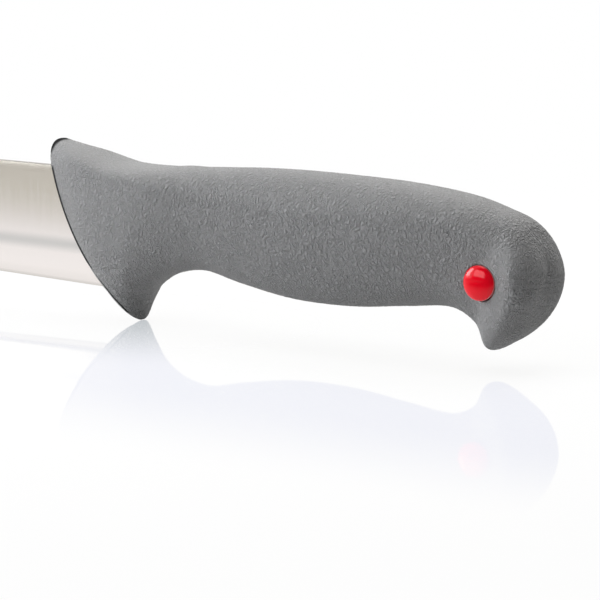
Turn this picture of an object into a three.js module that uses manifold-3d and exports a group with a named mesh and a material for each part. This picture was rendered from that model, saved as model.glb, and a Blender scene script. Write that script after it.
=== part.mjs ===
// Ham knife: a long flat-ground slicing blade whose tang is moulded into an ergonomic one-piece plastic
// handle, with a two-part colour plug pushed through the handle near the butt.
// Millimetres. X runs from the blade tip to the butt, Y across the knife, Z up from the tip of the guard.

import * as THREE from 'three';
import { mergeVertices } from 'three/addons/utils/BufferGeometryUtils.js';
import Module from 'manifold-3d';

const wasm = await Module();
wasm.setup();

// Fit
const moldGap = 0.3;
const tolerance = 1e-4;

// Blade, seen from the side
const tipX = -221;
const tipZ = 33.5;
const spineZ = 36.2;
const spineDropX = -110;
const edgeHeelX = 93;
const edgeHeelZ = 7.1;
const edgeRisePerMm = 0.0234;
const bellyX = -135;
const bellyPower = 2.6;

// Blade, seen across its thickness
const spineHalfHeel = 1.15;
const spineHalfTip = 0.8;
const groundHalfEdge = 0.24;
const bevelHeight = 0.9;
const bladeSteps = 34;
const bladeLevels = 7;
const bladeSpacing = 1.5;
const slantedSteps = 8.5;
const settlePasses = 3;

// Tang inside the handle
const plungeGap = 1.1;
const pocketFront = 4.4;
const shoulderX = 97;
const shoulderRun = 9;
const heelBackX = 105.5;
const heelRise = 9;
const tangHighZ = 33;
const tangLowZ = 19;
const tangEndX = 178;
const tangCorner = 4;
const lockHoleRadius = 2.7;
const lockHoleX = [121, 145, 167];

// Handle: ribs from the front edge to the butt. A rib joins a point of the lower outline to one of the
// upper outline, bows by sag at its middle (towards the butt where positive) and is widest at its shoulder,
// which is given as a share of the way up. Below the shoulder it narrows along a superellipse: fullness 2 is
// an ellipse, less is leaner, more is squarer. Above it a flank leans in to the rounded crown.
const ribs = [
  // front edge, and the fan of ribs over the guard's flank up to its ridge
  { low: [104.7, 1.7], high: [80.9, 43.1], sag: -4.3, halfWidth: 5.5, fullness: 3.0, shoulder: 0.86 },
  { low: [106.2, 0.3], high: [90.0, 41.0], sag: -4.2, halfWidth: 8.6, fullness: 2.8, shoulder: 0.94 },
  { low: [106.9, 0.2], high: [101.0, 38.6], sag: -3.8, halfWidth: 10.3, fullness: 2.6, shoulder: 0.93 },
  { low: [107.1, 2.5], high: [113.0, 38.2], sag: -2.6, halfWidth: 10.9, fullness: 2.5, shoulder: 0.89 },
  // back of the guard and finger groove
  { low: [108.7, 6.1], high: [119.5, 38.6], sag: -1.6, halfWidth: 10.7, fullness: 2.4, shoulder: 0.83 },
  { low: [112.6, 9.9], high: [124.5, 38.7], sag: -0.6, halfWidth: 10.2, fullness: 2.3, shoulder: 0.8 },
  { low: [118.4, 13.0], high: [129.0, 39.0], sag: 0, halfWidth: 9.9, fullness: 2.2, shoulder: 0.78 },
  { low: [127.0, 14.3], high: [134.0, 39.3], sag: 0.2, halfWidth: 9.8, fullness: 2.2, shoulder: 0.75 },
  // palm swell
  { low: [138.0, 12.2], high: [142.0, 39.8], sag: 0.6, halfWidth: 10.0, fullness: 2.3, shoulder: 0.72 },
  { low: [153.0, 10.0], high: [154.0, 40.1], sag: 0.3, halfWidth: 10.5, fullness: 2.2, shoulder: 0.7 },
  { low: [169.0, 9.9], high: [168.0, 40.0], sag: 0, halfWidth: 10.7, fullness: 2.1, shoulder: 0.71 },
  { low: [184.0, 11.5], high: [181.5, 39.6], sag: 0, halfWidth: 11.0, fullness: 2.0, shoulder: 0.73 },
  // hollow by the plug, hook and pommel crest
  { low: [196.0, 12.5], high: [192.5, 38.7], sag: 1.0, halfWidth: 10.8, fullness: 2.0, shoulder: 0.74 },
  { low: [203.2, 9.4], high: [200.5, 37.6], sag: 4.6, halfWidth: 10.3, fullness: 2.3, shoulder: 0.73 },
  { low: [206.3, 4.2], high: [206.4, 36.3], sag: 6.4, halfWidth: 10.4, fullness: 2.5, shoulder: 0.69 },
  { low: [210.4, 5.0], high: [211.4, 34.6], sag: 6.2, halfWidth: 11.3, fullness: 1.9, shoulder: 0.57 },
  // end of the pommel
  { low: [216.9, 10.3], high: [216.1, 31.7], sag: 3.4, halfWidth: 7.2, fullness: 2.3, shoulder: 0.52 },
];
const buttX = 220.6;
const buttZ = 22.6;
const buttFullness = 2;
const buttShoulder = 0.5;
const crownFullness = 2.6;
const shoulderFullness = 1.35;
const frontEdgeRadius = 0.9;
const frontEdgeTurns = [90, 60, 30];
const stepsPerRib = 5;
const halfRing = 28;

// Colour plug, a stud and a socket that meet inside the handle. Heights are from the knife's middle plane.
const plugX = 207.7;
const plugZ = 20;
const plugHeadRadius = 4.15;
const plugHeadLow = 7.4;
const plugHeadRim = 9.6;
const plugHeadHigh = 11;
const plugRimRound = 0.3;
const stemRadius = 1.9;
const stemBeadRadius = 2.05;
const stemBeadHeight = 0.8;
const stemEnd = 5.2;
const stemBeadAt = 3.4;
const sleeveOuter = 3;
const sleeveInner = 2.35;
const sleeveDetent = 2.6;
const sleeveEnd = 4.6;
const sleeveFloor = 6.2;
const boreRadius = 3.3;
const seatRadius = 4.45;
const seatFloor = 7.1;
const seatMouth = 14;
const roundSides = 28;
const domeSteps = 8;

// Turns a closed three.js geometry into a solid for joining and cutting.
function solidOf(geometry) {
  const bare = geometry.clone();
  bare.deleteAttribute('normal');
  bare.deleteAttribute('uv');
  const merged = mergeVertices(bare, tolerance);
  return new wasm.Manifold(new wasm.Mesh({
    numProp: 3,
    vertProperties: new Float32Array(merged.attributes.position.array),
    triVerts: new Uint32Array(merged.index.array),
  }));
}

function geometryOf(solid) {
  const mesh = solid.getMesh();
  const geometry = new THREE.BufferGeometry();
  geometry.setAttribute('position', new THREE.BufferAttribute(mesh.vertProperties, 3));
  geometry.setIndex(new THREE.BufferAttribute(mesh.triVerts, 1));
  return geometry;
}

// Closed skin through rings of points that start at the bottom and go up one side and down the other.
// The first ring is covered straight across and the last one closes in a point.
function skin(rings, endPoint) {
  const count = rings[0].length;
  const positions = [...rings.flat(), endPoint].flatMap((point) => point.toArray());
  const index = [];
  const addTriangle = (a, b, c) => {
    if (a !== b && b !== c && c !== a) {
      index.push(a, b, c);
    }
  };
  for (let k = 0; k < Math.floor(count / 2); k += 1) {
    const opposite = (count - k) % count;
    addTriangle(k, k + 1, count - k - 1);
    addTriangle(k, count - k - 1, opposite);
  }
  for (let row = 0; row < rings.length - 1; row += 1) {
    for (let k = 0; k < count; k += 1) {
      const here = row * count + k;
      const next = row * count + ((k + 1) % count);
      addTriangle(here, here + count, next);
      addTriangle(next, here + count, next + count);
    }
  }
  const lastRow = (rings.length - 1) * count;
  for (let k = 0; k < count; k += 1) {
    addTriangle(lastRow + k, rings.length * count, lastRow + ((k + 1) % count));
  }
  const geometry = new THREE.BufferGeometry();
  geometry.setAttribute('position', new THREE.Float32BufferAttribute(positions, 3));
  geometry.setIndex(index);
  return geometry;
}

// The handle's outline is one curve, back along the top, round the butt and forward along the bottom.
const highPoints = ribs.map((rib) => new THREE.Vector2(...rib.high));
const lowPoints = ribs.map((rib) => new THREE.Vector2(...rib.low));
const buttPoint = new THREE.Vector2(buttX, buttZ);
const outline = new THREE.SplineCurve([...highPoints, buttPoint, ...lowPoints.toReversed()]);

// Width and sag run to nothing at the butt and carry on mirrored past it, which keeps the end round.
const lastRib = ribs[ribs.length - 1];
const girth = new THREE.SplineCurve([
  ...ribs.map((rib) => new THREE.Vector2(rib.halfWidth, rib.sag)),
  new THREE.Vector2(0, 0),
  new THREE.Vector2(-lastRib.halfWidth, -lastRib.sag),
]);
const roundness = new THREE.SplineCurve([
  ...ribs.map((rib) => new THREE.Vector2(rib.fullness, rib.shoulder)),
  new THREE.Vector2(buttFullness, buttShoulder),
]);

// The rib at a place counted in ribs from the front: its curve in the side view, half width and section.
function ribAt(place) {
  const high = outline.getPoint(place / (2 * ribs.length));
  const low = outline.getPoint(1 - place / (2 * ribs.length));
  const size = girth.getPoint(place / (ribs.length + 1));
  const chord = high.clone().sub(low);
  const towardsButt = new THREE.Vector2(chord.y, -chord.x).normalize();
  const middle = high.clone().add(low).multiplyScalar(0.5).addScaledVector(towardsButt, 2 * size.y);
  const section = roundness.getPoint(place / ribs.length);
  const closing = Math.max(0, place - (ribs.length - 1));
  return {
    curve: new THREE.QuadraticBezierCurve(low, middle, high),
    halfWidth: size.x,
    fullness: section.x,
    shoulder: section.y,
    crown: THREE.MathUtils.lerp(crownFullness, buttFullness, closing),
    flank: THREE.MathUtils.lerp(shoulderFullness, buttFullness, closing),
  };
}

// One ring of the handle, with the way forward along the knife at each of its points.
function handleRing(rib) {
  const points = [];
  const forward = [];
  for (let k = 0; k < 2 * halfRing; k += 1) {
    const turn = (Math.PI * k) / halfRing;
    const level = Math.abs(Math.cos(turn));
    const side = Math.sign(Math.sin(turn)) * rib.halfWidth;
    const below = Math.cos(turn) > 0;
    const reach = Math.abs(Math.sin(turn)) ** (2 / (below ? rib.fullness : rib.crown));
    const lowerClimb = rib.shoulder * (1 - level ** (2 / rib.fullness));
    const upperClimb = rib.shoulder + (1 - rib.shoulder) * level ** (2 / rib.flank);
    const climb = below ? lowerClimb : upperClimb;
    const place = rib.curve.getPoint(climb);
    const along = rib.curve.getTangent(climb);
    points.push(new THREE.Vector3(place.x, k === halfRing ? 0 : -side * reach, place.y));
    forward.push(new THREE.Vector3(-along.y, 0, along.x));
  }
  return { points, forward };
}

// The rounded front edge: the first ring moved forward and in, step by step.
function frontEdgeRings() {
  const { points, forward } = handleRing(ribAt(0));
  const count = points.length;
  return frontEdgeTurns.map((degrees) => {
    const turn = THREE.MathUtils.degToRad(degrees);
    return points.map((point, k) => {
      const along = points[(k + 1) % count].clone().sub(points[(k + count - 1) % count]);
      const inward = forward[k].clone().cross(along).normalize();
      return point.clone()
        .addScaledVector(forward[k], frontEdgeRadius * Math.sin(turn))
        .addScaledVector(inward, frontEdgeRadius * (1 - Math.cos(turn)));
    });
  });
}

function handleBody() {
  const rings = frontEdgeRings();
  for (let step = 0; step < ribs.length * stepsPerRib; step += 1) {
    rings.push(handleRing(ribAt(step / stepsPerRib)).points);
  }
  return skin(rings, new THREE.Vector3(buttX, 0, buttZ));
}

// Height of the spine and of the cutting edge along the blade.
function spineAt(x) {
  const past = Math.max(0, (spineDropX - x) / (spineDropX - tipX));
  return spineZ - (spineZ - tipZ) * past ** 2;
}

function edgeLine(x) {
  return edgeHeelZ - edgeRisePerMm * (x - edgeHeelX);
}

function edgeAt(x) {
  const past = Math.max(0, (bellyX - x) / (bellyX - tipX));
  return edgeLine(x) + (tipZ - edgeLine(tipX)) * past ** bellyPower;
}

// Where the ground sides end, a little in front of the handle's front face.
function plungeAt(z) {
  const { curve } = ribAt(0);
  let low = 0;
  let high = 1;
  const place = new THREE.Vector2();
  while (high - low > tolerance / 100) {
    const middle = (low + high) / 2;
    const along = curve.getTangent(middle);
    const forward = new THREE.Vector2(-along.y, along.x);
    place.copy(curve.getPoint(middle)).addScaledVector(forward, frontEdgeRadius + plungeGap);
    if (place.y < z) {
      low = middle;
    } else {
      high = middle;
    }
  }
  return place.x;
}

// The flat-ground side is one plane: it thins from spine to edge and from heel to tip.
const plungeHighX = plungeAt(spineZ);
const thinPerHeight = (spineHalfHeel - groundHalfEdge) / (spineZ - edgeHeelZ);
const thinPerLength = (spineHalfHeel - spineHalfTip) / (plungeHighX - tipX);
function groundHalf(x, z) {
  return spineHalfHeel - thinPerHeight * (spineZ - z) - thinPerLength * (plungeHighX - x);
}

// The ground blade from the plunge line to the tip, with the cutting bevel along its lower edge.
function groundBlade() {
  const rings = [];
  for (let step = 0; step < bladeSteps; step += 1) {
    const left = (1 - step / bladeSteps) ** bladeSpacing;
    const spineX = tipX + (plungeHighX - tipX) * left;
    const slant = Math.max(0, 1 - step / slantedSteps);
    const low = [];
    const high = [];
    for (let level = 0; level <= bladeLevels; level += 1) {
      let x = spineX;
      let z = spineAt(spineX);
      for (let pass = 0; pass < settlePasses; pass += 1) {
        const bevelZ = edgeAt(x) + Math.min(bevelHeight, (spineAt(x) - edgeAt(x)) / 2);
        const share = Math.max(0, level - 1) / (bladeLevels - 1);
        z = level === 0 ? edgeAt(x) : THREE.MathUtils.lerp(bevelZ, spineAt(x), share);
        x = spineX + slant * (plungeAt(z) - plungeHighX);
      }
      const half = level === 0 ? 0 : groundHalf(x, z);
      low.push(new THREE.Vector3(x, half, z));
      high.unshift(new THREE.Vector3(x, -half, z));
    }
    rings.push([...low, ...high.slice(0, -1)]);
  }
  return skin(rings, new THREE.Vector3(tipX, 0, tipZ));
}

// The unground end of the steel: full height at the front, then the narrow tang with its lock holes.
// The pocket that the plastic leaves round it is the same shape, grown by the gap and open to the front.
function tangPlate(grow) {
  const shape = new THREE.Shape();
  const frontShift = grow > 0 ? -pocketFront : 0;
  const front = [];
  for (let level = 0; level <= bladeLevels; level += 1) {
    const z = THREE.MathUtils.lerp(spineZ + grow, edgeLine(heelBackX) - grow, level / bladeLevels);
    front.push(new THREE.Vector2(plungeAt(z) + frontShift, z));
  }
  const high = tangHighZ + grow;
  const low = tangLowZ - grow;
  const end = tangEndX + grow;
  shape.setFromPoints(front);
  shape.lineTo(heelBackX + grow, edgeLine(heelBackX) - grow);
  shape.quadraticCurveTo(heelBackX + grow, low, heelBackX + heelRise, low);
  shape.lineTo(end - tangCorner, low);
  shape.quadraticCurveTo(end, low, end, low + tangCorner);
  shape.lineTo(end, high - tangCorner);
  shape.quadraticCurveTo(end, high, end - tangCorner, high);
  shape.lineTo(shoulderX + shoulderRun, high);
  shape.lineTo(shoulderX, spineZ + grow);
  shape.closePath();
  for (const x of lockHoleX) {
    const hole = new THREE.Path();
    hole.absarc(x, (tangHighZ + tangLowZ) / 2, lockHoleRadius - grow, 0, 2 * Math.PI);
    shape.holes.push(hole);
  }
  const depth = 2 * (spineHalfHeel + grow);
  const plate = new THREE.ExtrudeGeometry(shape, { depth, bevelEnabled: false, curveSegments: 8 });
  return plate.rotateX(Math.PI / 2).translate(0, depth / 2, 0);
}

function bladeGeometry() {
  return geometryOf(solidOf(groundBlade()).add(solidOf(tangPlate(0))));
}

// Cutter for the plug: a bore right through and a round seat for each head.
function plugCutter() {
  const bore = new THREE.CylinderGeometry(boreRadius, boreRadius, 2 * seatMouth, roundSides);
  const seatDepth = seatMouth - seatFloor;
  const seatMiddle = (seatMouth + seatFloor) / 2;
  let cutter = solidOf(bore);
  for (const side of [-1, 1]) {
    const seat = new THREE.CylinderGeometry(seatRadius, seatRadius, seatDepth, roundSides);
    cutter = cutter.add(solidOf(seat.translate(0, side * seatMiddle, 0)));
  }
  return cutter.translate(plugX, 0, plugZ);
}

function handleGeometry() {
  const pocket = solidOf(tangPlate(moldGap));
  return geometryOf(solidOf(handleBody()).subtract(pocket).subtract(plugCutter()));
}

// Profile of a plug head from its underside to the top of its dome: radius and height.
function headProfile() {
  const profile = [
    new THREE.Vector2(plugHeadRadius - plugRimRound, plugHeadLow),
    new THREE.Vector2(plugHeadRadius, plugHeadLow + plugRimRound),
  ];
  for (let step = 0; step <= domeSteps; step += 1) {
    const turn = (Math.PI / 2) * (step / domeSteps);
    const height = plugHeadRim + (plugHeadHigh - plugHeadRim) * Math.sin(turn);
    profile.push(new THREE.Vector2(step === domeSteps ? 0 : plugHeadRadius * Math.cos(turn), height));
  }
  return profile;
}

// The stud half: a round stem with a shallow snap bead under the head.
function studGeometry() {
  const profile = [
    new THREE.Vector2(0, -stemEnd),
    new THREE.Vector2(stemRadius - plugRimRound, -stemEnd),
    new THREE.Vector2(stemRadius, plugRimRound - stemEnd),
    new THREE.Vector2(stemRadius, -stemBeadAt - stemBeadHeight),
    new THREE.Vector2(stemBeadRadius, -stemBeadAt),
    new THREE.Vector2(stemRadius, stemBeadHeight - stemBeadAt),
    new THREE.Vector2(stemRadius, plugHeadLow),
    ...headProfile(),
  ];
  return new THREE.LatheGeometry(profile, roundSides);
}

// The socket half: a sleeve with a detent groove for the bead, closed by the head.
function socketGeometry() {
  const profile = [
    new THREE.Vector2(0, sleeveFloor),
    new THREE.Vector2(sleeveInner, sleeveFloor),
    new THREE.Vector2(sleeveInner, stemBeadAt + stemBeadHeight),
    new THREE.Vector2(sleeveDetent, stemBeadAt),
    new THREE.Vector2(sleeveInner, stemBeadAt - stemBeadHeight),
    new THREE.Vector2(sleeveInner, -sleeveEnd),
    new THREE.Vector2(sleeveOuter - plugRimRound, -sleeveEnd),
    new THREE.Vector2(sleeveOuter, plugRimRound - sleeveEnd),
    new THREE.Vector2(sleeveOuter, plugHeadLow),
    ...headProfile(),
  ];
  return new THREE.LatheGeometry(profile, roundSides);
}

const steel = new THREE.MeshStandardMaterial({ color: 0xd8d3cc, metalness: 1, roughness: 0.34 });
const greyPlastic = new THREE.MeshStandardMaterial({ color: 0x7f8082, metalness: 0, roughness: 0.6 });
const redPlastic = new THREE.MeshStandardMaterial({ color: 0xd0091f, metalness: 0, roughness: 0.18 });

function namedMesh(name, geometry, material) {
  const mesh = new THREE.Mesh(geometry, material);
  mesh.name = name;
  return mesh;
}

const knife = new THREE.Group();
knife.add(namedMesh('blade', bladeGeometry(), steel));
knife.add(namedMesh('handle', handleGeometry(), greyPlastic));

// The stud goes in from the side of -Y and the socket from the side of +Y.
const plug = new THREE.Group();
plug.position.set(plugX, 0, plugZ);
const stud = namedMesh('code_plug_stud', studGeometry(), redPlastic);
stud.rotation.x = Math.PI;
plug.add(stud);
plug.add(namedMesh('code_plug_socket', socketGeometry(), redPlastic));
knife.add(plug);

export default knife;
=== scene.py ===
import math

import bmesh
import bpy
import numpy as np
from mathutils import Matrix, Vector


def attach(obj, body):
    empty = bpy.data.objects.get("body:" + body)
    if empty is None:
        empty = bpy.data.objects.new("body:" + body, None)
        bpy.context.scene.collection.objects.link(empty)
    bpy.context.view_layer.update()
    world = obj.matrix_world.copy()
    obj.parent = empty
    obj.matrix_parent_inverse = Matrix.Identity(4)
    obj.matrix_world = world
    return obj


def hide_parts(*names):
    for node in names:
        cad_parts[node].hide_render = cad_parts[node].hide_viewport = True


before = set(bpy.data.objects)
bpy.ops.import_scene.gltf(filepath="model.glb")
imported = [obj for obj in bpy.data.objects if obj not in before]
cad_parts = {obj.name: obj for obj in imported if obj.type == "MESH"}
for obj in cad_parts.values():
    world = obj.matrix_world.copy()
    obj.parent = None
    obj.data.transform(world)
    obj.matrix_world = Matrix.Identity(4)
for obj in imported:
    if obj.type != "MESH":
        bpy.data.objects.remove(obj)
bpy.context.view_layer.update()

print("frame loaded:", ", ".join(sorted(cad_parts)))


# one output socket; sums on values add Math nodes, make() adds any other node
class Wire:
    def __init__(self, tree, socket=None):
        self.tree = tree
        self.socket = socket

    def make(self, kind, settings, inputs, output=0):
        node = self.tree.nodes.new(kind)
        for name, value in settings.items():
            setattr(node, name, value)
        for key, value in inputs.items():
            if isinstance(value, Wire):
                self.tree.links.new(value.socket, node.inputs[key])
            else:
                node.inputs[key].default_value = value
        return Wire(self.tree, node.outputs[output] if node.outputs else None)

    def math(self, operation, first, second):
        return self.make("ShaderNodeMath", {"operation": operation}, {0: first, 1: second})

    def vectorMath(self, operation, first, second):
        return self.make("ShaderNodeVectorMath", {"operation": operation}, {0: first, 1: second})

    def __add__(self, other):
        return self.math("ADD", self, other)

    def __radd__(self, other):
        return self.math("ADD", other, self)

    def __sub__(self, other):
        return self.math("SUBTRACT", self, other)

    def __rsub__(self, other):
        return self.math("SUBTRACT", other, self)

    def __mul__(self, other):
        return self.math("MULTIPLY", self, other)

    def __rmul__(self, other):
        return self.math("MULTIPLY", other, self)

    def __truediv__(self, other):
        return self.math("DIVIDE", self, other)

    def __rtruediv__(self, other):
        return self.math("DIVIDE", other, self)

    def __abs__(self):
        return self.make("ShaderNodeMath", {"operation": "ABSOLUTE"}, {0: self})

    def ease(self, low, high):        # 0 below low, 1 above high, smooth between
        settings = {"interpolation_type": "SMOOTHSTEP"}
        inputs = {"Value": self, "From Min": low, "From Max": high}
        return self.make("ShaderNodeMapRange", settings, inputs)

    def scaled(self, factors):        # a vector times a vector
        return self.vectorMath("MULTIPLY", self, factors)

    def moved(self, step):            # a vector plus a vector
        return self.vectorMath("ADD", self, step)

    def length(self):                 # how long a vector is
        return self.make("ShaderNodeVectorMath", {"operation": "LENGTH"}, {0: self}, "Value")

    def part(self, axis):             # X, Y or Z of a vector
        return self.make("ShaderNodeSeparateXYZ", {}, {"Vector": self}, axis)

    def noise(self, scale, detail):   # clouds from 0 to 1, with this vector as the place
        inputs = {"Vector": self, "Scale": scale, "Detail": detail}
        return self.make("ShaderNodeTexNoise", {}, inputs, "Fac")

    def bump(self, depth, strength):  # this value as a height tilts the normal
        inputs = {"Strength": strength, "Distance": depth, "Height": self}
        return self.make("ShaderNodeBump", {}, inputs, "Normal")

    def blend(self, first, second):   # this value mixes two colours
        return self.make("ShaderNodeMix", {"data_type": "RGBA"}, {0: self, 6: first, 7: second}, 2)

    def mix(self, first, second):     # this value mixes two shaders
        return self.make("ShaderNodeMixShader", {}, {0: self, 1: first, 2: second})


def newMaterial(name):                # with a wire for its nodes and the place on the piece
    material = bpy.data.materials.new(name)
    material.use_nodes = True
    material.node_tree.nodes.clear()
    wire = Wire(material.node_tree)
    return material, wire, wire.make("ShaderNodeTexCoord", {}, {}, "Object")


def addOutput(wire, shader):
    wire.make("ShaderNodeOutputMaterial", {}, {"Surface": shader})


def pointValue(wire, name):           # a value stored on the piece's points
    return wire.make("ShaderNodeAttribute", {"attribute_name": name}, {}, "Fac")


def rayKind(wire, kind):              # 1 for rays of that kind
    return wire.make("ShaderNodeLightPath", {}, {}, kind)


def addObject(name, points, faces):
    mesh = bpy.data.meshes.new(name)
    mesh.from_pydata([tuple(point) for point in points], [], faces)
    mesh.validate()
    piece = bpy.data.objects.new(name, mesh)
    bpy.context.scene.collection.objects.link(piece)
    return piece


def storeValues(piece, name, values):
    attribute = piece.data.attributes.new(name, "FLOAT", "POINT")
    attribute.data.foreach_set("value", np.asarray(values, np.float32))


def closeNormals(piece, mergeDistance=1e-7):
    work = bmesh.new()
    work.from_mesh(piece.data)
    bmesh.ops.remove_doubles(work, verts=work.verts, dist=mergeDistance)
    bmesh.ops.recalc_face_normals(work, faces=work.faces)
    work.to_mesh(piece.data)
    work.free()


def ringFaces(rows, around):          # skin over closed rings of points, the last drawn to one more point
    faces = []
    for row in range(rows - 1):
        for k in range(around):
            here, after = row * around + k, row * around + (k + 1) % around
            faces.append((here, here + around, after + around, after))
    last, tip = (rows - 1) * around, rows * around
    return faces + [(last + k, tip, last + (k + 1) % around) for k in range(around)]


def addRound(name, profile, sides):   # turned piece about Y, profile in (radius, height along Y)
    points, rows = [], []
    for radius, height in profile:
        if radius == 0:
            rows.append([len(points)] * sides)
            points.append((0, height, 0))
        else:
            rows.append(list(range(len(points), len(points) + sides)))
            points += [(radius * math.cos(2 * math.pi * k / sides), height,
                        radius * math.sin(2 * math.pi * k / sides)) for k in range(sides)]
    faces = []
    for lower, upper in zip(rows, rows[1:]):
        for k in range(sides):
            after = (k + 1) % sides
            faces.append(tuple(dict.fromkeys((lower[k], lower[after], upper[after], upper[k]))))
    piece = addObject(name, points, faces)
    closeNormals(piece)
    return piece


def applyModifiers(piece):
    graph = bpy.context.evaluated_depsgraph_get()
    made = bpy.data.meshes.new_from_object(piece.evaluated_get(graph))
    made.name = piece.name
    piece.modifiers.clear()
    piece.data = made


def carve(piece, tool, operation):    # the tool gets the piece's point values too, as zeros
    for attribute in piece.data.attributes:
        if attribute.data_type == "FLOAT" and attribute.name not in tool.data.attributes:
            tool.data.attributes.new(attribute.name, "FLOAT", "POINT")
    modifier = piece.modifiers.new("carve", "BOOLEAN")
    modifier.object = tool
    modifier.operation = operation
    modifier.solver = "EXACT"
    applyModifiers(piece)
    bpy.data.objects.remove(tool)


def finishPiece(piece, material, body, node, sharpAngle):
    piece.data.materials.clear()
    piece.data.materials.append(material)
    piece.data.shade_smooth()
    piece.data.set_sharp_from_angle(angle=math.radians(sharpAngle))
    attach(piece, body)
    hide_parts(node)
    print(piece.name, "done:", len(piece.data.polygons), "faces")


# camera

photoCamera = {
    "turn": 34.347,                   # degrees round from the knife's side
    "rise": 8.416,
    "roll": 1.195,
    "aim": (0.1535, 0.0, 0.009614),
    "distance": 0.6664,
    "focalPixels": 2822,
    "imagePixels": 600,
    "sensorMm": 36,
}


def addCamera(form):
    turn, rise, roll = (math.radians(form[key]) for key in ("turn", "rise", "roll"))
    back = Vector((math.sin(turn) * math.cos(rise), -math.cos(turn) * math.cos(rise), math.sin(rise)))
    level = Vector((math.cos(turn), math.sin(turn), 0))
    upright = back.cross(level)
    right = level * math.cos(roll) + upright * math.sin(roll)
    up = upright * math.cos(roll) - level * math.sin(roll)
    lens = bpy.data.cameras.new("photoCamera")
    lens.sensor_width = form["sensorMm"]
    lens.lens = form["focalPixels"] / form["imagePixels"] * form["sensorMm"]
    camera = bpy.data.objects.new("photoCamera", lens)
    place = Vector(form["aim"]) + back * form["distance"]
    camera.matrix_world = Matrix((right, up, back)).transposed().to_4x4()
    camera.location = place
    bpy.context.scene.collection.objects.link(camera)
    bpy.context.scene.camera = camera
    print("camera at", [round(value, 4) for value in place])


addCamera(photoCamera)


# handle: ribs from the front edge to the butt, in metres
# each rib: lower and upper outline points (x, z), bow, half width, fullness below the shoulder,
# height of the shoulder as a share of the rib, roundness over the shoulder

handleForm = {
    "ribs": [
        ((0.1047, 0.0019), (0.0809, 0.0431), -0.0043, 0.0055, 3.0, 0.86, 2.10),   # front edge
        ((0.1063, 0.0004), (0.0900, 0.0410), -0.0042, 0.0086, 2.8, 0.94, 2.10),
        ((0.1069, 0.0002), (0.1010, 0.0386), -0.0038, 0.0103, 2.6, 0.93, 2.00),   # tip of the guard
        ((0.1071, 0.0025), (0.1130, 0.0384), -0.0026, 0.0109, 2.5, 0.89, 1.80),   # ridge of the guard
        ((0.1087, 0.0061), (0.1195, 0.0389), -0.0016, 0.0107, 2.4, 0.83, 1.60),
        ((0.1126, 0.0099), (0.1245, 0.0390), -0.0006, 0.0102, 2.3, 0.80, 1.50),
        ((0.1184, 0.0128), (0.1290, 0.0393), 0.0000, 0.0099, 2.2, 0.78, 1.45),    # finger groove
        ((0.1270, 0.0141), (0.1340, 0.0396), 0.0002, 0.0098, 2.2, 0.75, 1.40),
        ((0.1380, 0.0120), (0.1420, 0.0401), 0.0006, 0.0100, 2.3, 0.72, 1.40),
        ((0.1530, 0.0098), (0.1540, 0.0404), 0.0003, 0.0105, 2.2, 0.70, 1.40),    # palm swell
        ((0.1690, 0.0097), (0.1680, 0.0403), 0.0000, 0.0107, 2.1, 0.71, 1.40),
        ((0.1840, 0.0113), (0.1815, 0.0399), 0.0000, 0.0110, 2.0, 0.73, 1.40),
        ((0.1960, 0.0123), (0.1925, 0.0390), 0.0010, 0.0108, 2.0, 0.74, 1.40),    # hollow by the plug
        ((0.2032, 0.0092), (0.2005, 0.0379), 0.0046, 0.0103, 2.3, 0.73, 1.40),    # front of the hook
        ((0.2063, 0.0040), (0.2074, 0.0362), 0.0063, 0.0104, 2.5, 0.69, 1.40),    # tip of the hook
        ((0.2104, 0.0050), (0.2132, 0.0343), 0.0057, 0.0110, 1.9, 0.57, 1.40),    # pommel crest
        ((0.2169, 0.0103), (0.2165, 0.0314), 0.0034, 0.0072, 2.3, 0.52, 1.40),    # end of the pommel
    ],
    "butt": (0.2199, 0.0226),
    "buttFullness": 2.0,
    "buttShoulder": 0.5,
    "crownFullness": 2.6,
    "tipPinch": 0.32,                 # how much the very tip of the guard is drawn in
    "tipReach": 0.0016,               # how far up
    "tipPinchEnd": 5,                 # and up to which rib
    "edgeRadius": 0.0009,
    "edgeSteps": 8,
    "faceSteps": 10,
    "rings": 420,
    "ringPoints": 212,
    "traceSteps": 8,                  # points traced for each one that a ring keeps
    "spacingSteps": 2000,
    # height, and how many rings back the painted shade on the front edge ends there
    "edgeShadeRings": [(0.0018, 0), (0.0022, 38), (0.0040, 38), (0.0065, 31), (0.0084, 26), (0.0120, 5),
                 (0.0140, 1), (0.0402, 1), (0.0428, 3.5)],
    "edgeShadeWidth": 7,                    # in rings
    "edgeShadeGap": (0.0362, 0.0368, 0.0394, 0.0402),            # no painted edge shade between the blade and the top corner
    "smoothStrip": ((0.2135, 0.0260), (0.2085, 0.0080)),   # little grain from the plug down the hook
    "smoothWidth": (0.0020, 0.0060),
    "smoothness": 0.6,
    "topSmoothness": 0.3,
    "guardSmoothness": 0.2,
    "guardEnd": (0.112, 0.126),
    "sharpAngle": 42,
}


def splineAt(points, place):          # smooth curve through points, place counted in points
    index = min(int(place), len(points) - 2)
    part = place - index
    start, stop = points[index], points[index + 1]
    leave = (stop - points[max(index - 1, 0)]) / 2
    reach = (points[min(index + 2, len(points) - 1)] - start) / 2
    bend = 2 * (start - stop) + leave + reach
    turn = 3 * (stop - start) - 2 * leave - reach
    return ((bend * part + turn) * part + leave) * part + start


def bowAt(low, middle, high, share):  # point on a bowed rib
    return low * (1 - share) ** 2 + middle * 2 * share * (1 - share) + high * share ** 2


def runLengths(points):               # length along a row of points, up to each of them
    return np.concatenate(([0], np.cumsum(np.linalg.norm(np.diff(points, axis=0), axis=1))))


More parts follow.
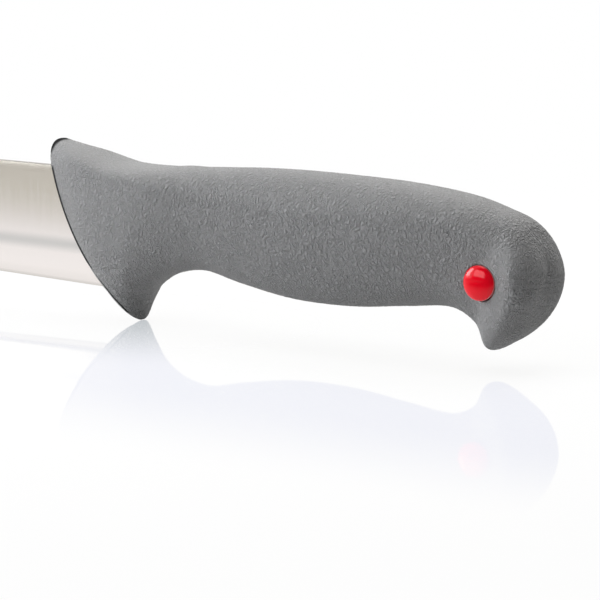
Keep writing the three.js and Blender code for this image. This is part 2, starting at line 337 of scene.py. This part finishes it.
# smooth skin through the ribs; a place along it is counted in ribs from the front edge
class HandleLoft:
    def __init__(self, form):
        self.form = form
        lows, highs, bows, halfWidths, *sections = zip(*form["ribs"])
        self.count = len(lows)
        self.outline = [np.array(point) for point in (*highs, form["butt"], *lows[::-1])]
        girths = [np.array(pair) for pair in zip(halfWidths, bows)]
        self.girth = girths + [np.zeros(2), -girths[-1]]
        end = (form["buttFullness"], form["buttShoulder"], form["buttFullness"])
        self.section = [np.array(section) for section in (*zip(*sections), end)]

    def ribCurve(self, place):        # low, middle and high points of the bowed rib, and its half width
        high = splineAt(self.outline, place)
        low = splineAt(self.outline, 2 * self.count - place)
        halfWidth, sag = splineAt(self.girth, place)
        chord = high - low
        across = np.array((chord[1], -chord[0])) / np.linalg.norm(chord)
        return low, (high + low) / 2 + 2 * sag * across, high, halfWidth

    def ring(self, place):            # points from the bottom, up the near side and down the far side
        form = self.form
        low, middle, high, halfWidth = self.ribCurve(place)
        fullness, shoulder, flank = splineAt(self.section, place)
        closing = max(0, place - (self.count - 1))
        crown = form["crownFullness"] * (1 - closing) + form["buttFullness"] * closing
        turn = np.linspace(0, 2 * np.pi, form["traceSteps"] * form["ringPoints"] + 1)
        level, reach, below = np.abs(np.cos(turn)), np.abs(np.sin(turn)), np.cos(turn) > 0
        lowerClimb = shoulder * (1 - level ** (2 / fullness))
        upperClimb = shoulder + (1 - shoulder) * level ** (2 / flank)
        climb = np.where(below, lowerClimb, upperClimb)[:, None]
        side = -halfWidth * np.sign(np.sin(turn)) * reach ** (2 / np.where(below, fullness, crown))
        curve = bowAt(low, middle, high, climb)
        pinch = form["tipPinch"] * min(1, max(0, form["tipPinchEnd"] - place))
        side = side * (1 - pinch * np.exp((low[1] - curve[:, 1]) / form["tipReach"]))
        slope = (middle - low) * (1 - climb) + (high - middle) * climb
        slope = slope / np.linalg.norm(slope, axis=1)[:, None]
        points = np.column_stack((curve[:, 0], side, curve[:, 1]))
        forward = np.column_stack((-slope[:, 1], np.zeros(len(side)), slope[:, 0]))
        over = np.clip((climb - shoulder) / (1 - shoulder), 0, 1)
        run = runLengths(points)
        even = np.linspace(0, run[-1], form["ringPoints"], endpoint=False)

        def evenly(rows):
            return np.column_stack([np.interp(even, run, row) for row in rows.T])

        return evenly(points), evenly(forward), evenly(over)[:, 0]

    def places(self):                 # ring places an even distance apart along the grip
        fine = np.linspace(0, self.count, self.form["spacingSteps"], endpoint=False)
        run = runLengths(np.array([self.middle(place) for place in fine]))
        return np.interp(np.linspace(0, run[-1], self.form["rings"]), run, fine)

    def middle(self, place):
        low, middle, high, halfWidth = self.ribCurve(place)
        return np.array((*(low + 2 * middle + high) / 4, halfWidth))

    def frontRings(self):             # the front edge rolls in, then the flat front face closes
        points, forward, _ = self.ring(0)
        along = np.roll(points, -1, axis=0) - np.roll(points, 1, axis=0)
        inward = np.cross(forward, along)
        inward = inward / np.linalg.norm(inward, axis=1)[:, None]
        radius = self.form["edgeRadius"]
        rings = []
        for step in range(self.form["edgeSteps"], 0, -1):
            turn = math.pi / 2 * step / self.form["edgeSteps"]
            ahead = points + forward * radius * math.sin(turn)
            rings.append(ahead + inward * radius * (1 - math.cos(turn)))
        face = rings[0]
        flat = face * (1, 0, 1)
        shrink = np.linspace(0, 1, self.form["faceSteps"], endpoint=False)
        return [flat + (face - flat) * share for share in shrink[1:]] + rings


def paintedEdgeShade(form, points, ring):     # 1 on the painted shade line round the front edge
    height = points[:, 2]
    inside = np.interp(height, *np.transpose(form["edgeShadeRings"])) - ring
    gap = np.interp(height, form["edgeShadeGap"], (0, 1, 1, 0))
    return np.clip(inside, 0, 1) * np.clip(form["edgeShadeWidth"] - inside, 0, 1) * (1 - gap)


def grainShare(form, points, over):   # full on the sides, weaker on top, guard and smooth strip
    start, stop = (np.array(point) for point in form["smoothStrip"])
    way = stop - start
    flat = points[:, [0, 2]] - start
    along = np.clip(flat @ way / (way @ way), 0, 1)
    away = np.linalg.norm(flat - along[:, None] * way, axis=1)
    near, far = form["smoothWidth"]
    part = np.clip((away - near) / (far - near), 0, 1)
    smooth = 1 - part * part * (3 - 2 * part)
    guard = 1 - np.clip((points[:, 0] - form["guardEnd"][0]) / np.ptp(form["guardEnd"]), 0, 1)
    share = (1 - form["smoothness"] * smooth) * (1 - form["topSmoothness"] * np.sqrt(over))
    return share * (1 - form["guardSmoothness"] * guard)


def addHandle(form):
    loft = HandleLoft(form)
    front = loft.frontRings()
    skin = [loft.ring(place) for place in loft.places()]
    rings = front + [ring[0] for ring in skin]
    around = form["ringPoints"]
    points = np.concatenate(rings + [np.array([(form["butt"][0], 0, form["butt"][1])])])
    faces = ringFaces(len(rings), around)
    # a narrow strip down the middle closes the front face
    for k in range(around // 2):
        strip = (k, k + 1, (around - k - 1) % around, (around - k) % around)
        faces.append(tuple(dict.fromkeys(strip)))
    piece = addObject("handleGrip", points, faces)
    # painted shade: the front edge is coloured dark where it turns away from the light
    rim = paintedEdgeShade(form, points, np.arange(len(points)) // around - len(front))
    storeValues(piece, "paintedEdgeShade", rim)
    over = np.concatenate([np.zeros(len(front) * around)] + [ring[2] for ring in skin] + [np.zeros(1)])
    storeValues(piece, "grainShare", (1 - rim) * grainShare(form, points, over))
    closeNormals(piece)
    print("handle loft:", len(piece.data.polygons), "faces")
    return piece


handle = addHandle(handleForm)


# grain of the grip: creased cells, taller than wide on the sides

grainForm = {                         # the inputs of the grain tree
    "Cell width": 0.00085,
    "Cell height": 0.00125,
    "Relief depth": 0.00005,
    "Seed": 4.0,
}

creaseForm = {                        # counted in cells
    "driftScale": 0.9,
    "driftDetail": 3.0,
    "wander": 1.6,
    "slope": 0.28,                    # from the middle of a crease up to the flat of a cell
}


def creaseCells(wire, place, cellWidth, cellHeight, seed):
    perMetre = wire.make("ShaderNodeCombineXYZ", {}, {
        "X": 1 / cellWidth, "Y": 1 / cellWidth, "Z": 1 / cellHeight})
    cells = place.scaled(perMetre)
    drift = wire.make("ShaderNodeTexNoise", {"noise_dimensions": "4D"}, {
        "Vector": cells, "W": seed,
        "Scale": creaseForm["driftScale"], "Detail": creaseForm["driftDetail"]}, "Color")
    wandering = cells.moved(drift.scaled([creaseForm["wander"]] * 3))
    cellInputs = {"Vector": wandering, "W": seed, "Scale": 1.0, "Randomness": 1.0}
    settings = {"feature": "DISTANCE_TO_EDGE", "voronoi_dimensions": "4D"}
    fromEdge = wire.make("ShaderNodeTexVoronoi", settings, cellInputs, "Distance")
    return fromEdge.ease(0.0, creaseForm["slope"])


def grainTree():
    tree = bpy.data.node_groups.new("gripGrain", "GeometryNodeTree")
    tree.interface.new_socket("Geometry", in_out="INPUT", socket_type="NodeSocketGeometry")
    for name in grainForm:
        tree.interface.new_socket(name, in_out="INPUT", socket_type="NodeSocketFloat")
    tree.interface.new_socket("Finish", in_out="INPUT", socket_type="NodeSocketMaterial")
    tree.interface.new_socket("Geometry", in_out="OUTPUT", socket_type="NodeSocketGeometry")
    wire = Wire(tree)
    group = tree.nodes.new("NodeGroupInput")
    given = {socket.name: Wire(tree, socket) for socket in group.outputs if socket.name}
    place = wire.make("GeometryNodeInputPosition", {}, {})
    normal = wire.make("GeometryNodeInputNormal", {}, {})
    share = wire.make("GeometryNodeInputNamedAttribute", {"data_type": "FLOAT"}, {"Name": "grainShare"})
    height = creaseCells(wire, place, given["Cell width"], given["Cell height"], given["Seed"])
    lift = (height - 1.0) * given["Relief depth"] * share
    liftVector = wire.make("ShaderNodeCombineXYZ", {}, {"X": lift, "Y": lift, "Z": lift})
    raised = wire.make("GeometryNodeSetPosition", {}, {
        "Geometry": given["Geometry"], "Offset": normal.scaled(liftVector)})
    single = wire.make("GeometryNodeRealizeInstances", {}, {"Geometry": raised})
    finished = wire.make("GeometryNodeSetMaterial", {}, {
        "Geometry": single, "Material": given["Finish"]})
    wire.make("NodeGroupOutput", {}, {"Geometry": finished})
    return tree


def addGrain(piece, material):
    modifier = piece.modifiers.new("grain", "NODES")
    tree = grainTree()
    modifier.node_group = tree
    values = dict(grainForm, Finish=material)
    for socket in tree.interface.items_tree:
        if socket.in_out == "INPUT" and socket.name in values:
            modifier[socket.identifier] = values[socket.name]
    applyModifiers(piece)
    print("grain raised on", piece.name)


gripFinish = {
    "grey": (0.234, 0.235, 0.237, 1),
    # painted shade: the grain's creases are darker
    "creaseShadeGrey": (0.212, 0.213, 0.216, 1),
    # painted shade on the front edge and in the plug's seat
    "edgeShadeGrey": (0.02, 0.02, 0.021, 1),
    "broad": (90.0, 3.0),             # clouds over the whole grip, scale and detail
    "broadTone": (0.75, 0.5),         # how grey the cells are at least, and what the clouds add
    "fine": (2600.0, 2.0),            # speckle, scale and detail
    "fineBump": 0.4,
    "smallCells": (0.00042, 0.0007),  # small creases between the raised ones, width and height
    "smallSeed": 7.0,
    "smallBump": 0.4,
    "bumpDepth": 0.00045,
    "roughness": 0.56,
    "creaseRoughness": 0.08,
    "fineRoughness": 0.1,
    "ior": 1.46,
}


def gripMaterial(form):
    material, wire, place = newMaterial("gripPlastic")
    height = creaseCells(wire, place, *(grainForm[key] for key in ("Cell width", "Cell height", "Seed")))
    small = creaseCells(wire, place, *form["smallCells"], form["smallSeed"])
    fine = place.noise(*form["fine"])
    least, added = form["broadTone"]
    # painted shade in the creases, with random clouds of tone over the grip
    tone = height * (least + place.noise(*form["broad"]) * added)
    colour = tone.blend(form["creaseShadeGrey"], form["grey"])
    relief = height + small * form["smallBump"] + fine * form["fineBump"]
    bump = (relief * pointValue(wire, "grainShare")).bump(form["bumpDepth"], 1.0)
    roughness = (form["roughness"] + (1 - height) * form["creaseRoughness"]
                 + (fine - 0.5) * form["fineRoughness"])
    skin = wire.make("ShaderNodeBsdfPrincipled", {}, {
        "Base Color": colour, "Roughness": roughness, "IOR": form["ior"], "Normal": bump})
    # painted shade: a dark matt shader on the front edge and in the plug's seat
    paintedDark = wire.make("ShaderNodeBsdfDiffuse", {}, {"Color": form["edgeShadeGrey"]})
    addOutput(wire, pointValue(wire, "paintedEdgeShade").mix(skin, paintedDark))
    return material


gripPlastic = gripMaterial(gripFinish)
addGrain(handle, gripPlastic)


# blade with its tang

bladeForm = {
    "tip": (-0.221, 0.0335),
    "spineZ": 0.0362,
    "spineDropX": -0.110,
    "heel": (0.093, 0.0071),
    "edgeRise": 0.0234,               # per metre toward the tip
    "bellyX": -0.135,
    "bellyPower": 2.6,
    "halfHeel": 0.00115,              # half thicknesses at the spine and at the edge
    "halfTip": 0.0008,
    "halfEdge": 0.00024,
    "bevelHeight": 0.0009,
    "bevelFade": 0.25,
    "spineRound": 0.00012,
    "plungeX": 0.0804,
    "stations": 150,
    "slanted": 36,                    # stations over which the slant of the handle's front runs out
    "spacing": 1.5,
    "levels": 14,
    "roundSteps": 4,
    "sink": 0.006,                    # how far the ground sides run on inside the handle
    "gap": 0.00006,
    "lineTop": 0.045,                 # height and steps over which the handle's front line is traced
    "lineSteps": 200,
    "tangHighZ": 0.033,
    "tangLowZ": 0.019,
    "tangStartX": 0.104,
    "tangEndX": 0.178,
    "tangCorner": 0.004,
    "cornerStep": 15,                 # degrees
    "holeX": (0.121, 0.145, 0.167),
    "holeRadius": 0.0027,
    "holeReach": 0.004,
    "holeSides": 48,
    "sharpAngle": 30,
}


def frontLineX(z, steps=400):         # where the handle's front edge crosses these heights
    low, middle, high, _ = HandleLoft(handleForm).ribCurve(0)
    curve = bowAt(low, middle, high, np.linspace(0, 1, steps)[:, None])
    return np.interp(z, curve[:, 1], curve[:, 0])


def spineAt(form, x):
    past = max(0, (form["spineDropX"] - x) / (form["spineDropX"] - form["tip"][0]))
    return form["spineZ"] - (form["spineZ"] - form["tip"][1]) * past ** 2


def straightEdge(form, x):
    return form["heel"][1] - form["edgeRise"] * (x - form["heel"][0])


def edgeAt(form, x):                  # straight from the heel, then the belly up to the tip
    past = max(0, (form["bellyX"] - x) / (form["bellyX"] - form["tip"][0]))
    lift = form["tip"][1] - straightEdge(form, form["tip"][0])
    return straightEdge(form, x) + lift * past ** form["bellyPower"]


def groundHalf(form, x, z):           # flat-ground side: thins to the edge and to the tip
    perHeight = (form["halfHeel"] - form["halfEdge"]) / (form["spineZ"] - form["heel"][1])
    perLength = (form["halfHeel"] - form["halfTip"]) / (form["plungeX"] - form["tip"][0])
    return form["halfHeel"] - perHeight * (form["spineZ"] - z) - perLength * (form["plungeX"] - x)


def bladeSection(form, spineX, slant, lineX, grow):
    # points of one side from the edge up to the rounded spine, leaning with the handle's front
    side = []
    for level in range(form["levels"] + form["roundSteps"] + 1):
        x = spineX
        for _ in range(3):            # the height depends on x and x on the height, so both settle
            top, bottom = spineAt(form, x) + grow, edgeAt(form, x) - grow
            # corner and bevel shrink with the blade near its tip
            corner = min(form["spineRound"], (top - bottom) / 8)
            bevelZ = bottom + min(form["bevelHeight"], (top - bottom) / 2)
            share = max(0, level - 1) / (form["levels"] - 1)
            z = bottom if level == 0 else bevelZ + (top - corner - bevelZ) * min(share, 1)
            turn = math.pi / 2 * max(0, level - form["levels"]) / form["roundSteps"]
            z += corner * math.sin(turn)
            x = spineX + slant * (lineX(z) - lineX(form["spineZ"]))
        half = groundHalf(form, x, min(z, top - corner)) + grow
        half -= corner * (1 - math.cos(turn))
        side.append((x, grow if level == 0 else half, z))
    return side


def addBladeLoft(form, name, grow):   # the ground blade, or with grow the tool that cuts its slot
    zs = np.linspace(0, form["lineTop"], form["lineSteps"])
    xs = frontLineX(zs)

    def lineX(z):
        return float(np.interp(z, zs, xs))

    startX = lineX(form["spineZ"]) + form["sink"]
    farEnd = None if grow else -1     # both sides share the keen edge, the tool's edge is two lines
    points = []
    for step in range(form["stations"]):
        left = (1 - step / form["stations"]) ** form["spacing"]
        spineX = form["tip"][0] + (startX - form["tip"][0]) * left
        slant = max(0, 1 - step / form["slanted"])
        side = bladeSection(form, spineX, slant, lineX, grow)
        far = [(x, -half, z) for x, half, z in side[::-1]]
        points += side + far[:farEnd]
    around = len(points) // form["stations"]
    points.append((form["tip"][0] - grow, 0, form["tip"][1]))
    faces = [tuple(range(around))] + ringFaces(form["stations"], around)
    piece = addObject(name, points, faces)
    zeros = [0] * (form["levels"] - 1)
    bevelMarks = [1, form["bevelFade"]] + zeros + [0] * form["roundSteps"]
    spineMarks = [0, 0] + zeros + [1] * form["roundSteps"]
    for attribute, marks in (("bevel", bevelMarks), ("spine", spineMarks)):
        storeValues(piece, attribute, (marks + marks[::-1][:farEnd]) * form["stations"] + [0])
    closeNormals(piece)
    return piece


def addTang(form, name, grow):        # the narrow plate inside the handle, with its lock holes
    left, right = form["tangStartX"] - grow, form["tangEndX"] + grow
    low, high, corner = form["tangLowZ"] - grow, form["tangHighZ"] + grow, form["tangCorner"]
    outline = [(left, low)]
    for centreZ, first in ((low + corner, -90), (high - corner, 0)):
        for degrees in range(first, first + 91, form["cornerStep"]):
            turn = math.radians(degrees)
            outline.append((right - corner + corner * math.cos(turn), centreZ + corner * math.sin(turn)))
    outline.append((left, high))
    half = form["halfHeel"] + grow
    count = len(outline)
    points = [(x, side * half, z) for side in (-1, 1) for x, z in outline]
    faces = [tuple(range(count)), tuple(range(2 * count - 1, count - 1, -1))]
    faces += [(k, (k + 1) % count, count + (k + 1) % count, count + k) for k in range(count)]
    piece = addObject(name, points, faces)
    closeNormals(piece)
    radius, reach = form["holeRadius"] - grow, form["holeReach"]
    pegProfile = [(0, -reach), (radius, -reach), (radius, reach), (0, reach)]
    for x in form["holeX"]:
        peg = addRound("peg", pegProfile, form["holeSides"])
        peg.data.transform(Matrix.Translation((x, 0, (form["tangLowZ"] + form["tangHighZ"]) / 2)))
        carve(piece, peg, "DIFFERENCE")
    return piece


bladeFinish = {
    "satin": (0.74, 0.69, 0.61, 1),
    "bright": (0.89, 0.84, 0.815, 1),
    "zone": (0.017, 0.031),           # from the bright lower part to the satin upper part; painted reflection, partly a satin finish higher up
    "bandZ": 0.0166,                  # painted reflection: soft darker band along the blade
    "bandWidth": 0.0026,
    "bandShare": 0.9,
    "reflectionBandGrey": (0.63, 0.62, 0.605, 1),
    # painted shade: the rounded spine is dark and not metallic, so it shows no bright reflection
    "spineShadeGrey": (0.20, 0.19, 0.175, 1),
    "bevelGrey": (0.63, 0.60, 0.57, 1),
    "strokes": (5200, 5200, 60),      # brushed lines, per metre along x, y and z
    "coarse": (900, 900, 30),         # broader ones
    "coarseTone": 0.7,
    "coarseBump": 0.5,
    "sweeps": (8, 8, 260),            # faint long stripes
    "sweepTone": 0.3,
    "roughness": 0.15,
    "satinRoughness": 0.07,
    "strokeRoughness": 0.06,
    "spineRoughness": 0.5,
    "bumpDepth": 0.00002,
    "bumpStrength": 0.25,
}


def bladeMaterial(form):
    material, wire, place = newMaterial("bladeSteel")
    height = place.part("Z")
    upper = height.ease(*form["zone"])
    strokes = place.scaled(form["strokes"]).noise(scale=1.0, detail=3.0)
    coarse = place.scaled(form["coarse"]).noise(scale=1.0, detail=2.0)
    sweeps = place.scaled(form["sweeps"]).noise(scale=1.0, detail=2.0)
    tone = upper + (sweeps - 0.5) * form["sweepTone"] + (coarse - 0.5) * upper * form["coarseTone"]
    # partly painted reflection: the lower blade is lighter, the upper part a satin tone
    sides = wire.make("ShaderNodeClamp", {}, {"Value": tone}).blend(form["bright"], form["satin"])
    # painted reflection: a darker band along the blade
    paintedDark = 1 - abs(height - form["bandZ"]).ease(0.0, form["bandWidth"])
    banded = (paintedDark * form["bandShare"]).blend(sides, form["reflectionBandGrey"])
    bevelled = pointValue(wire, "bevel").blend(banded, form["bevelGrey"])
    # painted shade on the spine, which also loses its metal
    spine = pointValue(wire, "spine")
    colour = spine.blend(bevelled, form["spineShadeGrey"])
    roughness = (form["roughness"] + upper * form["satinRoughness"]
                 + (strokes - 0.5) * form["strokeRoughness"] + spine * form["spineRoughness"])
    bump = (strokes + coarse * form["coarseBump"]).bump(form["bumpDepth"], form["bumpStrength"])
    shader = wire.make("ShaderNodeBsdfPrincipled", {}, {
        "Base Color": colour, "Metallic": 1 - spine, "Roughness": roughness, "Normal": bump})
    addOutput(wire, shader)
    return material


blade = addBladeLoft(bladeForm, "knifeBlade", 0)
carve(blade, addTang(bladeForm, "tang", 0), "UNION")
carve(handle, addBladeLoft(bladeForm, "slotTool", bladeForm["gap"]), "DIFFERENCE")
carve(handle, addTang(bladeForm, "tangTool", bladeForm["gap"]), "DIFFERENCE")
finishPiece(blade, bladeMaterial(bladeFinish), "knife", "blade", bladeForm["sharpAngle"])


# colour plug: stud on the near side, socket on the far side
# heights run outward from the middle of the handle

plugForm = {
    "centre": (0.20825, 0.0, 0.0200),
    "headRadius": 0.00404,
    "headLow": 0.0074,
    "headRim": 0.0098,
    "headHigh": 0.0113,
    "rimRound": 0.0003,
    "stemRadius": 0.0019,
    "beadRadius": 0.00205,
    "beadAt": 0.0034,
    "beadHeight": 0.0008,
    "stemEnd": 0.0052,
    "sleeveOuter": 0.0030,
    "sleeveInner": 0.00235,
    "sleeveDetent": 0.0026,
    "sleeveEnd": 0.0046,
    "sleeveFloor": 0.0062,
    "boreRadius": 0.0033,
    "seatRadius": 0.00424,
    "seatShift": (0.00012, 0.0, -0.00004),
    "seatFloor": 0.0071,
    "seatMouth": 0.0140,
    "domeSteps": 20,
    "sides": 96,
    "sharpAngle": 40,
}


def headProfile(form):
    outer, rim, ease = form["headRadius"], form["headRim"], form["rimRound"]
    profile = [(outer - ease, form["headLow"]), (outer, form["headLow"] + ease)]
    for step in range(form["domeSteps"] + 1):
        turn = math.pi / 2 * step / form["domeSteps"]
        height = rim + (form["headHigh"] - rim) * math.sin(turn)
        profile.append((0 if step == form["domeSteps"] else outer * math.cos(turn), height))
    return profile


def studProfile(form):
    radius, end, ease = form["stemRadius"], form["stemEnd"], form["rimRound"]
    low, high = form["beadAt"] + form["beadHeight"], form["beadAt"] - form["beadHeight"]
    return [(0, -end), (radius - ease, -end), (radius, ease - end), (radius, -low),
            (form["beadRadius"], -form["beadAt"]), (radius, -high), (radius, form["headLow"])]


def socketProfile(form):
    inner, outer = form["sleeveInner"], form["sleeveOuter"]
    end, ease = form["sleeveEnd"], form["rimRound"]
    low, high = form["beadAt"] - form["beadHeight"], form["beadAt"] + form["beadHeight"]
    return [(0, form["sleeveFloor"]), (inner, form["sleeveFloor"]), (inner, high),
            (form["sleeveDetent"], form["beadAt"]), (inner, low), (inner, -end),
            (outer - ease, -end), (outer, ease - end), (outer, form["headLow"])]


def seatProfile(form):                # bore with a seat at each end
    bore, seat = form["boreRadius"], form["seatRadius"]
    floor, mouth = form["seatFloor"], form["seatMouth"]
    half = [(bore, floor), (seat, floor), (seat, mouth), (0, mouth)]
    return [(radius, -height) for radius, height in half[::-1]] + half


plugFinish = {
    "red": (0.71, 0.001, 0.012, 1),
    "deepRed": (0.62, 0.001, 0.010, 1),
    "edge": (0.62, 0.30, 0.30, 1),    # painted reflection: pale glint round the rim of the head
    "edgeRadius": (0.00390, 0.00405),
    "edgeDepth": (0.0092, 0.0097),
    "sheen": (1.0, 0.50, 0.51, 1),
    "shine": 0.5,
    "clouds": (500.0, 2.0),           # scale and detail
    "ripple": (900.0, 1.0),
    "roughness": 0.05,
    "cloudRoughness": 0.04,
    "ior": 1.5,
    "bumpDepth": 0.00005,
    "bumpStrength": 0.12,
}


def plugMaterial(form, centre):
    material, wire, place = newMaterial("plugPlastic")
    clouds = place.noise(*form["clouds"])
    fromAxis = place.moved([-value for value in centre]).scaled((1, 0, 1)).length()
    fromMiddle = abs(place.part("Y"))
    # painted reflection: a pale ring at the outer rim of the head
    pale = fromAxis.ease(*form["edgeRadius"]) * fromMiddle.ease(*form["edgeDepth"])
    colour = pale.blend(clouds.blend(form["deepRed"], form["red"]), form["edge"])
    shader = wire.make("ShaderNodeBsdfPrincipled", {}, {
        "Base Color": colour,
        "Roughness": form["roughness"] + clouds * form["cloudRoughness"],
        "IOR": form["ior"],
        "Specular IOR Level": form["shine"],
        "Specular Tint": form["sheen"],
        "Normal": place.noise(*form["ripple"]).bump(form["bumpDepth"], form["bumpStrength"])})
    addOutput(wire, shader)
    return material


def addPlug(form, material, grip):
    centre = Matrix.Translation(form["centre"])
    seat = addRound("seatTool", seatProfile(form), form["sides"])
    seat.data.transform(centre @ Matrix.Translation(form["seatShift"]))
    storeValues(seat, "paintedEdgeShade", np.ones(len(seat.data.vertices)))   # painted shade: the seat is dark as the front edge is
    carve(grip, seat, "DIFFERENCE")
    halves = (("plugStud", studProfile, math.pi, "plug_stud", "code_plug_stud"),
              ("plugSocket", socketProfile, 0, "plug_socket", "code_plug_socket"))
    for name, profile, turn, body, node in halves:
        piece = addRound(name, profile(form) + headProfile(form), form["sides"])
        piece.data.transform(centre @ Matrix.Rotation(turn, 4, "X"))
        finishPiece(piece, material, body, node, form["sharpAngle"])


addPlug(plugForm, plugMaterial(plugFinish, plugForm["centre"]), handle)
finishPiece(handle, gripPlastic, "knife", "handle", handleForm["sharpAngle"])


# floor, lights and background

studio = {
    "floorSize": 6.0,
    "floorColour": (0.77, 0.77, 0.775, 1),
    "floorRoughness": 0.03,
    "mirror": (0.13, 0.12, 0.06, 1),
    "mirrorFade": (0.07, 0.135),      # distance in front of the knife over which its mirror image fades
    "floorGlow": 0.88,                # share of the white backdrop that shows through the sheet
    "mattWhite": (0.68, 0.68, 0.68),
    "floorFade": (0.14, 0.4),         # distance over which the sheet fades into the white backdrop
    "contact": (0.107, 0.0),          # where the guard's tip touches, the mirror image is clearer
    "contactReach": 0.07,
    "contactMirror": (0.43, 0.40, 0.375, 1),
    "dimFloor": 0.55,                 # what gloss shows of the sheet in front of the knife
    "dimFrom": (0.04, 0.20),
    "darkFloor": 0.06,                # and before the pommel
    "darkFrom": (0.03, 0.10),
    "darkAcross": (0.05, 0.12),
    "lamps": {
        "topMid": {
            "place": (0.12, 0.05, 0.60), "size": (0.5, 0.4), "watts": 3.15, "colour": (1, 0.99, 0.965)},
        "topBack": {
            "place": (0.05, 0.55, 0.60), "size": (0.6, 0.4), "watts": 4.45, "colour": (1, 0.99, 0.965)},
        "backLeft": {
            "place": (-0.45, 0.45, 0.45), "size": (0.5, 0.4), "watts": 0.45, "colour": (1, 0.99, 0.97)},
        "leftBack": {
            "place": (-0.65, 0.15, 0.20), "size": (0.4, 0.4), "watts": 1.05, "colour": (0.97, 0.985, 1)},
        "leftNear": {
            "place": (-0.25, -0.18, 0.20), "size": (0.25, 0.25), "watts": 1.55, "colour": (0.97, 0.985, 1)},
        "leftFront": {
            "place": (-0.60, -0.50, 0.25), "size": (0.5, 0.4), "watts": 1.0, "colour": (0.96, 0.98, 1)},
        "frontLeft": {
            "place": (-0.13, -0.825, 0.36), "size": (0.62, 0.42), "watts": 3.5, "colour": (0.96, 0.98, 1)},
    },
    "aim": (0.16, 0.0, 0.02),
    "backdropSide": (-0.56, 0.82, 0.1),   # the white backdrop behind the knife
    "backdropEdge": (-0.35, 0.15),
    "roomLight": 0.06,
    "darkSide": 0.12,                 # what gloss shows of the room behind the camera
}


def addLamp(name, lamp, aim):
    light = bpy.data.lights.new(name, "AREA")
    light.shape = "RECTANGLE"
    light.size, light.size_y = lamp["size"]
    light.energy = lamp["watts"]
    light.color = lamp["colour"]
    holder = bpy.data.objects.new(name, light)
    holder.location = lamp["place"]
    holder.rotation_euler = (Vector(aim) - Vector(lamp["place"])).to_track_quat("-Z", "Y").to_euler()
    bpy.context.scene.collection.objects.link(holder)


def sheetMaterial(form):
    material, wire, place = newMaterial("glossyWhite")
    across = place.part("X")
    front = place.part("Y") * -1.0
    # what the camera sees: white sheet with a mirror image that fades with distance
    fromContact = place.moved((-form["contact"][0], -form["contact"][1], 0)).length()
    near = 1 - fromContact.ease(0.0, form["contactReach"])
    faint = (1 - front.ease(*form["mirrorFade"])).blend((0, 0, 0, 1), form["mirror"])
    mirror = near.blend(faint, form["contactMirror"])
    rest = wire.vectorMath("SUBTRACT", (1, 1, 1), mirror)
    matt = wire.make("ShaderNodeBsdfDiffuse", {}, {"Color": rest.scaled(form["mattWhite"])})
    white = wire.make("ShaderNodeEmission", {}, {"Color": rest, "Strength": 1.0})
    gloss = wire.make("ShaderNodeBsdfGlossy", {}, {"Color": mirror, "Roughness": form["floorRoughness"]})
    away = place.moved((-form["aim"][0], 0, 0)).length()
    glow = form["floorGlow"] + away.ease(*form["floorFade"]) * (1 - form["floorGlow"])
    polished = wire.make("ShaderNodeAddShader", {}, {0: glow.mix(matt, white), 1: gloss})
    # what the object sees: a pale sheet, darker in front, darkest before the pommel
    plain = wire.make("ShaderNodeBsdfDiffuse", {}, {"Color": form["floorColour"]})
    light, dim, dark = (wire.make("ShaderNodeEmission", {}, {"Strength": strength})
                        for strength in (1.0, form["dimFloor"], form["darkFloor"]))
    faded = front.ease(*form["dimFrom"]).mix(light, dim)
    shaded = front.ease(*form["darkFrom"]) * across.ease(*form["darkAcross"])
    lit = rayKind(wire, "Is Glossy Ray").mix(plain, shaded.mix(faded, dark))
    addOutput(wire, rayKind(wire, "Is Camera Ray").mix(lit, polished))
    return material


def addFloor(form):
    half = form["floorSize"] / 2
    corners = [(-half, -half, 0), (half, -half, 0), (half, half, 0), (-half, half, 0)]
    floor = addObject("floor", corners, [(0, 1, 2, 3)])
    floor.data.materials.append(sheetMaterial(form))


def addRoom(form):
    world = bpy.data.worlds.new("room")
    bpy.context.scene.world = world
    world.use_nodes = True
    world.node_tree.nodes.clear()
    wire = Wire(world.node_tree)
    way = wire.make("ShaderNodeTexCoord", {}, {}, "Generated")
    towards = {0: way, 1: form["backdropSide"]}
    facing = wire.make("ShaderNodeVectorMath", {"operation": "DOT_PRODUCT"}, towards, "Value")
    soft, dark = (wire.make("ShaderNodeBackground", {}, {"Strength": form[key]})
                  for key in ("roomLight", "darkSide"))
    white = wire.make("ShaderNodeBackground", {}, {"Color": (1, 1, 1, 1), "Strength": 1.0})
    gloss = facing.ease(*form["backdropEdge"]).mix(dark, white)
    indirect = rayKind(wire, "Is Glossy Ray").mix(soft, gloss)
    room = rayKind(wire, "Is Camera Ray").mix(indirect, white)
    wire.make("ShaderNodeOutputWorld", {}, {"Surface": room})


addFloor(studio)
addRoom(studio)
for lampName, lamp in studio["lamps"].items():
    addLamp(lampName, lamp, studio["aim"])
bpy.context.scene.view_settings.view_transform = "Standard"
print("studio set")
